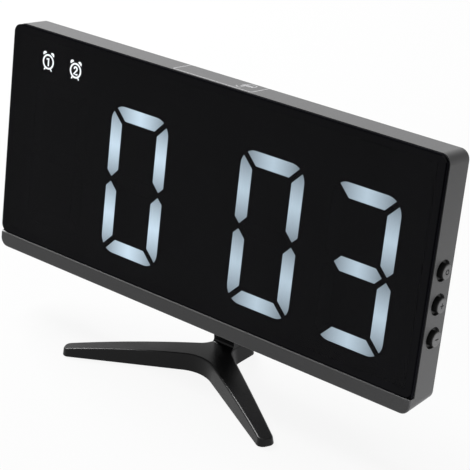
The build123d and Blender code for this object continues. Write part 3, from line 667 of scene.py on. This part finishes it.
def set_out(name, places, shapes, material, lay):
    """Repeats shapes at places with Geometry Nodes, and keeps the result as a plain mesh.

    A place is a point, its turn about the three axes and the number of the shape that stands there.
    """
    points = bpy.data.meshes.new(name)
    points.from_pydata([p for p, _, _ in places], [], [])
    turns = points.attributes.new("turn", "FLOAT_VECTOR", "POINT")
    turns.data.foreach_set("vector", [a for _, turn, _ in places for a in turn])
    kinds = points.attributes.new("kind", "INT", "POINT")
    kinds.data.foreach_set("value", [kind for _, _, kind in places])
    carrier = bpy.data.objects.new(name, points)
    bpy.context.scene.collection.objects.link(carrier)
    tree = bpy.data.node_groups.new(name, "GeometryNodeTree")
    face = tree.interface
    face.new_socket("Geometry", in_out="INPUT", socket_type="NodeSocketGeometry")
    face.new_socket("Geometry", in_out="OUTPUT", socket_type="NodeSocketGeometry")
    finish_input = face.new_socket("Finish", in_out="INPUT", socket_type="NodeSocketMaterial")
    shape_inputs = [
        face.new_socket(f"Shape {i}", in_out="INPUT", socket_type="NodeSocketObject")
        for i in range(len(shapes))
    ]

    def node(kind, links, **settings):
        made = tree.nodes.new(kind)
        for key, value in settings.items():
            setattr(made, key, value)
        for key, value in links.items():
            if isinstance(value, bpy.types.NodeSocket):
                tree.links.new(value, made.inputs[key])
            else:
                made.inputs[key].default_value = value
        return made

    source = node("NodeGroupInput", {})
    turn = node("GeometryNodeInputNamedAttribute", {"Name": "turn"}, data_type="FLOAT_VECTOR")
    facing = node("FunctionNodeEulerToRotation", {0: turn.outputs["Attribute"]})
    kind = node("GeometryNodeInputNamedAttribute", {"Name": "kind"}, data_type="INT")
    together = node("GeometryNodeJoinGeometry", {})
    for number in range(len(shapes)):
        chosen = node(
            "FunctionNodeCompare", {2: kind.outputs["Attribute"], 3: number},
            data_type="INT", operation="EQUAL",
        )
        shape = node("GeometryNodeObjectInfo", {"Object": source.outputs[f"Shape {number}"]})
        stand = node(
            "GeometryNodeInstanceOnPoints",
            {
                "Points": source.outputs["Geometry"],
                "Selection": chosen.outputs[0],
                "Instance": shape.outputs["Geometry"],
                "Rotation": facing.outputs[0],
            },
        )
        tree.links.new(stand.outputs[0], together.inputs[0])
    real = node("GeometryNodeRealizeInstances", {"Geometry": together.outputs[0]})
    painted = node(
        "GeometryNodeSetMaterial", {"Geometry": real.outputs[0], "Material": source.outputs["Finish"]}
    )
    node("NodeGroupOutput", {"Geometry": painted.outputs[0]})
    helpers = [bpy.data.objects.new("shape", mesh) for mesh in shapes]
    modifier = carrier.modifiers.new("set_out", "NODES")
    modifier.node_group = tree
    modifier[finish_input.identifier] = material
    for socket, helper in zip(shape_inputs, helpers):
        modifier[socket.identifier] = helper
    graph = bpy.context.evaluated_depsgraph_get()
    mesh = bpy.data.meshes.new_from_object(
        carrier.evaluated_get(graph), preserve_all_data_layers=True, depsgraph=graph
    )
    bpy.data.objects.remove(carrier)
    for helper in helpers:
        bpy.data.objects.remove(helper)
    if not mesh.polygons:
        raise RuntimeError(f"{name}: nothing was set out")
    mesh.transform(lay)
    return mesh


def bar_outlines(sizes):
    """The level, upright and middle bars of a digit about its middle, with rounded outer corners."""
    w = sizes.digit_width / 2
    h = sizes.digit_height / 2
    t = sizes.bar
    m = sizes.bar_gap / sqrt(2)
    g = sizes.bar_gap / 2
    r = sizes.digit_round
    u = ((2 * r + m) - sqrt((2 * r + m) ** 2 - 2 * (m + r) ** 2)) / 2
    swing = atan2(r - (u - m), r - u) * 180 / pi
    crown = arc((-w + r, h - r), r, 180 - swing, 90, 8)
    level = crown + [(-x, z) for x, z in crown[::-1]] + [(w - m - t, h - t), (-w + m + t, h - t)]
    flank = arc((-w + r, h - r), r, 90 + swing, 180, 8)
    tip = (-w + t * sizes.bar_tip_share, sizes.bar_tip_gap / 2)
    upright = flank + [(-w, m + t / 2 - g), tip, (-w + t, t / 2 + m), (-w + t, h - t - m)]
    middle = [
        (-w + t / 2 + m, 0), (-w + t + m, t / 2), (w - t - m, t / 2),
        (w - t / 2 - m, 0), (w - t - m, -t / 2), (-w + t + m, -t / 2),
    ]
    return level, upright, middle


def bar_mesh(sizes, outline, axis):
    """One bar with eased edges, and how far along it each point lies, from -1 to 1."""
    half = (sizes.mask_back - sizes.lens_back) / 2
    mesh = smooth(eased(flat_plate([outline], -half, half, on_front), sizes.bar_edge), 30)
    values = [v.co[axis] for v in mesh.vertices]
    middle = (max(values) + min(values)) / 2
    reach = (max(values) - min(values)) / 2
    along = mesh.attributes.new("along", "FLOAT", "POINT")
    along.data.foreach_set("value", [(v - middle) / reach for v in values])
    return mesh


BARS = {
    "a": (0, (0, 0, 0)), "d": (0, (0, pi, 0)), "g": (2, (0, 0, 0)),
    "f": (1, (0, 0, 0)), "b": (1, (0, 0, pi)), "e": (1, (pi, 0, 0)), "c": (1, (0, pi, 0)),
}
LIT = ("", "abcdef", "abcdef", "abcdg")


class CLOCK_OT_case(bpy.types.Operator):
    """Finishes the case, its chin and the three side keys"""

    bl_idname = "desk_clock.case"
    bl_label = "Case and keys"

    def execute(self, context):
        colours = context.scene.clock_colours
        satin = moulded("satin_charcoal", colours.case, colours.case_rough, 0.26)
        dress(satin, "front_case")
        dress(key_satin_and_painted_shade(colours, context.scene.clock_sizes), "set_key", "up_key", "down_key")
        return {"FINISHED"}


class CLOCK_OT_lens(bpy.types.Operator):
    """Finishes the smoked lens and the printed mask behind it"""

    bl_idname = "desk_clock.lens"
    bl_label = "Lens and mask"

    def execute(self, context):
        colours = context.scene.clock_colours
        dress(lens_acrylic(colours, context.scene.clock_sizes), "front_lens")
        dress(printed_mask(colours), "display_mask")
        return {"FINISHED"}


class CLOCK_OT_digits(bpy.types.Operator):
    """Sets out the lit and dark bars of the four digits and finishes the colon"""

    bl_idname = "desk_clock.digits"
    bl_label = "Digits and colon"

    def execute(self, context):
        sizes = context.scene.clock_sizes
        colours = context.scene.clock_colours
        level, upright, middle = bar_outlines(sizes)
        depth = (sizes.lens_back + sizes.mask_back) / 2
        digits = (-sizes.digit_far, -sizes.digit_near, sizes.digit_near, sizes.digit_far)
        digits = [sizes.digit_shift + x for x in digits]
        lit = lit_filler(colours)
        dark = dark_filler(colours)
        rows = (
            ("lit_bars", True, lit, "lit_bar", "lit_segments"),
            ("dark_bars", False, dark, "dark_bar", "dark_segments"),
        )
        for name, shining, material, slot, node in rows:
            shapes = [bar_mesh(sizes, level, 0), bar_mesh(sizes, upright, 2), bar_mesh(sizes, middle, 0)]
            places = []
            for x, on in zip(digits, LIT):
                for bar, (kind, turn) in BARS.items():
                    if (bar in on) == shining:
                        places.append(((x, depth, sizes.digit_middle), turn, kind))
            mesh = set_out(name, places, shapes, material, case_place(sizes))
            add_piece(name, mesh, material, stands_for=(node,))
        dress(dark, "colon_dots", "alarm_windows")
        return {"FINISHED"}


class CLOCK_OT_signs(bpy.types.Operator):
    """Draws the two lit alarm signs on the lens's back"""

    bl_idname = "desk_clock.signs"
    bl_label = "Alarm signs"

    def execute(self, context):
        sizes = context.scene.clock_sizes
        colours = context.scene.clock_colours
        far = sizes.lens_back - sizes.sign_gap
        near = far - sizes.sign_thick
        line = sizes.sign_line
        foot_ends = (sizes.sign_foot_start, sizes.sign_foot_end)
        plates = []
        for number in (0, 1):
            middle = (sizes.sign_first + number * sizes.sign_pitch, sizes.sign_height)
            plates.append(ring(middle, sizes.sign_dial, sizes.sign_dial - line))
            for side in (-1, 1):
                up = 90 - side * degrees(sizes.sign_bell_lean)
                down = -90 + side * degrees(sizes.sign_foot_lean)
                hub = around(middle, sizes.sign_bell_reach, up)
                foot = [around(middle, reach, down) for reach in foot_ends]
                plates.append([arc(hub, sizes.sign_bell, up - 90, up + 90, 14)])
                plates.append([ribbon(foot, sizes.sign_foot_share * line)])
            plates.append([numeral(number, middle, line)])
        meshes = [flat_plate(faces, near, far, on_front) for faces in plates]
        mesh = joined(meshes)
        mesh.transform(case_place(sizes))
        add_piece("alarm_signs", mesh, sign_light(colours))
        return {"FINISHED"}


class CLOCK_OT_touch_print(bpy.types.Operator):
    """Prints the touch field's outline and its tapping hand on the top wall"""

    bl_idname = "desk_clock.touch_print"
    bl_label = "Touch field print"

    def execute(self, context):
        sizes = context.scene.clock_sizes
        colours = context.scene.clock_colours
        low = sizes.case_height - sizes.ink_sunk
        high = sizes.case_height + sizes.ink_proud
        back = sizes.touch_back
        left = sizes.touch_left
        right = sizes.touch_right
        front = sizes.touch_front
        bend = sizes.touch_bend
        path = [(left, back)] + arc((left + bend, front + bend), bend, 180, 270, 6)
        path += arc((right - bend, front + bend), bend, 270, 360, 6) + [(right, back)]
        tip = (right - sizes.hand_inset, front + sizes.hand_reach)
        outlines = [ribbon(path, sizes.touch_line)] + tapping_hand(tip)
        mesh = joined([flat_plate([shape], high, low, on_top) for shape in outlines])
        mesh.transform(case_place(sizes))
        add_piece("touch_print", mesh, printed_ink(colours))
        return {"FINISHED"}


class CLOCK_OT_stand(bpy.types.Operator):
    """Finishes the three-legged stand and its feet"""

    bl_idname = "desk_clock.stand"
    bl_label = "Stand and feet"

    def execute(self, context):
        colours = context.scene.clock_colours
        dress(moulded("stand_black", colours.stand, colours.stand_rough, 0.17, 0.3, 2100.0), "stand")
        dress(foot_rubber(colours), "foot_pads")
        return {"FINISHED"}


class CLOCK_OT_rear(bpy.types.Operator):
    """Finishes the rear cover, its door, its screws and the power inlet"""

    bl_idname = "desk_clock.rear"
    bl_label = "Rear cover"

    def execute(self, context):
        colours = context.scene.clock_colours
        grained = moulded("grained_black", colours.back, 0.52, 0.4, 0.55, 1300.0)
        dress(grained, "rear_cover", "cell_door")
        steel = plated("zinc_steel", colours.steel, 0.28, (1, 6, 1), 0.72)
        dress(steel, "cover_screws", "board_screws", "main_screws", "lock_screw")
        nickel = plated("bright_nickel", colours.nickel, 0.14, (1, 8, 1), 0.85)
        dress(nickel, "power_socket", "clock_crystal", "backup_cell")
        return {"FINISHED"}


class CLOCK_OT_inside(bpy.types.Operator):
    """Finishes the boards and what they carry, and the lamps"""

    bl_idname = "desk_clock.inside"
    bl_label = "Boards and lamps"

    def execute(self, context):
        colours = context.scene.clock_colours
        dress(circuit_board(colours), "display_board", "key_board", "main_board")
        dress(white_moulding(colours), "segment_reflector", "link_plug", "link_socket")
        resin = chip_resin()
        dress(resin, "driver_chips", "key_switches", "controller_chip", "buzzer", "socket_tongue")
        dress(resin, "set_plunger", "up_plunger", "down_plunger")
        brass = plated("bare_brass", colours.brass, 0.24, (6, 1, 1), 0.62)
        dress(brass, "touch_plate", "touch_spring", "cell_contacts")
        dress(lamp_resin(colours), "display_leds")
        return {"FINISHED"}


class CLOCK_OT_stage(bpy.types.Operator):
    """Sets the floor, the even white studio, its two lights and the camera"""

    bl_idname = "desk_clock.stage"
    bl_label = "Studio stage"

    def execute(self, context):
        scene = context.scene
        stage = scene.clock_stage
        colours = scene.clock_colours
        shell = bmesh.new()
        bmesh.ops.create_circle(shell, cap_ends=True, segments=64, radius=stage.floor_radius)
        mesh = bpy.data.meshes.new("studio_floor")
        shell.to_mesh(mesh)
        shell.free()
        mesh.transform(Matrix.Translation((0, 0, -stage.floor_drop)))
        floor = bpy.data.objects.new("studio_floor", mesh)
        scene.collection.objects.link(floor)
        paint = finish("studio_floor")
        dust = paint.noise(3.0, 2.0)
        soft = paint.node(
            "ShaderNodeBsdfDiffuse", inputs={"Color": paint.tone(colours.floor, 0.99, 1.0, dust)}
        )
        glow = paint.node("ShaderNodeEmission", inputs={"Color": (1, 1, 1, 1), "Strength": 1.0})
        plain = self.seen(paint) * stage.floor_white
        both = paint.node("ShaderNodeMixShader", inputs={0: plain, 1: soft, 2: glow})
        paint.node("ShaderNodeOutputMaterial", inputs={"Surface": both})
        mesh.materials.append(paint.owner)

        world = bpy.data.worlds.new("white_studio")
        scene.world = world
        sky = Paint(world)
        even, white = (
            sky.node("ShaderNodeBackground", inputs={"Color": (1, 1, 1, 1), "Strength": level})
            for level in (stage.ambient, 1.0)
        )
        both = sky.node("ShaderNodeMixShader", inputs={0: self.seen(sky), 1: even, 2: white})
        sky.node("ShaderNodeOutputWorld", inputs={"Surface": both})

        box_size = (stage.top_size, stage.top_size)
        self.soft_box(scene, "top_box", stage.top_light, stage.top_spot, stage.top_aim, box_size)
        strip_size = (stage.side_length, stage.side_height)
        strip = self.soft_box(
            scene, "side_strip", stage.side_light, stage.side_spot, stage.side_aim, strip_size
        )
        strip.visible_glossy = False

        lens = bpy.data.cameras.new("studio_camera")
        lens.sensor_fit = "HORIZONTAL"
        lens.sensor_width = 36.0
        lens.lens = stage.focal
        lens.clip_start = 0.01
        lens.clip_end = 20.0
        camera = bpy.data.objects.new("studio_camera", lens)
        turn = Vector(stage.gaze).to_track_quat("-Z", "Y").to_matrix().to_4x4()
        camera.matrix_world = Matrix.Translation(stage.eye) @ turn
        scene.collection.objects.link(camera)
        scene.camera = camera
        scene.view_settings.view_transform = "Standard"
        return {"FINISHED"}

    def seen(self, paint):
        """One where the camera looks, straight or by reflection or through glass."""
        path = paint.node("ShaderNodeLightPath").socket.node.outputs
        names = ("Is Camera Ray", "Is Glossy Ray", "Is Transmission Ray")
        return paint.most(*[Wire(paint, path[name]) for name in names])

    def soft_box(self, scene, name, power, place, aim, size):
        """An even rectangle of light that the camera doesn't see."""
        lamp = bpy.data.lights.new(name, "AREA")
        lamp.shape = "RECTANGLE"
        lamp.size, lamp.size_y = size
        lamp.energy = power
        box = bpy.data.objects.new(name, lamp)
        turn = (Vector(aim) - Vector(place)).to_track_quat("-Z", "Y").to_matrix().to_4x4()
        box.matrix_world = Matrix.Translation(place) @ turn
        box.visible_camera = False
        scene.collection.objects.link(box)
        return box


STEPS = (
    CLOCK_OT_case, CLOCK_OT_lens, CLOCK_OT_digits, CLOCK_OT_signs, CLOCK_OT_touch_print,
    CLOCK_OT_stand, CLOCK_OT_rear, CLOCK_OT_inside, CLOCK_OT_stage,
)


class CLOCK_PT_panel(bpy.types.Panel):
    """Lists the steps that dress the clock"""

    bl_idname = "CLOCK_PT_panel"
    bl_label = "Desk clock"
    bl_space_type = "VIEW_3D"
    bl_region_type = "UI"
    bl_category = "Desk clock"

    def draw(self, context):
        for step in STEPS:
            self.layout.operator(step.bl_idname, text=step.bl_label)


GROUPS = {"clock_sizes": ClockSizes, "clock_colours": ClockColours, "clock_stage": ClockStage}


def register():
    for group in GROUPS.values():
        bpy.utils.register_class(group)
    for name, group in GROUPS.items():
        setattr(bpy.types.Scene, name, PointerProperty(type=group))
    for step in STEPS:
        bpy.utils.register_class(step)
    bpy.utils.register_class(CLOCK_PT_panel)


def unregister():
    bpy.utils.unregister_class(CLOCK_PT_panel)
    for step in reversed(STEPS):
        bpy.utils.unregister_class(step)
    for name, group in GROUPS.items():
        delattr(bpy.types.Scene, name)
        bpy.utils.unregister_class(group)


def main():
    register()
    for step in STEPS:
        group, name = step.bl_idname.split(".")
        getattr(getattr(bpy.ops, group), name)()


if __name__ == "__main__":
    main()
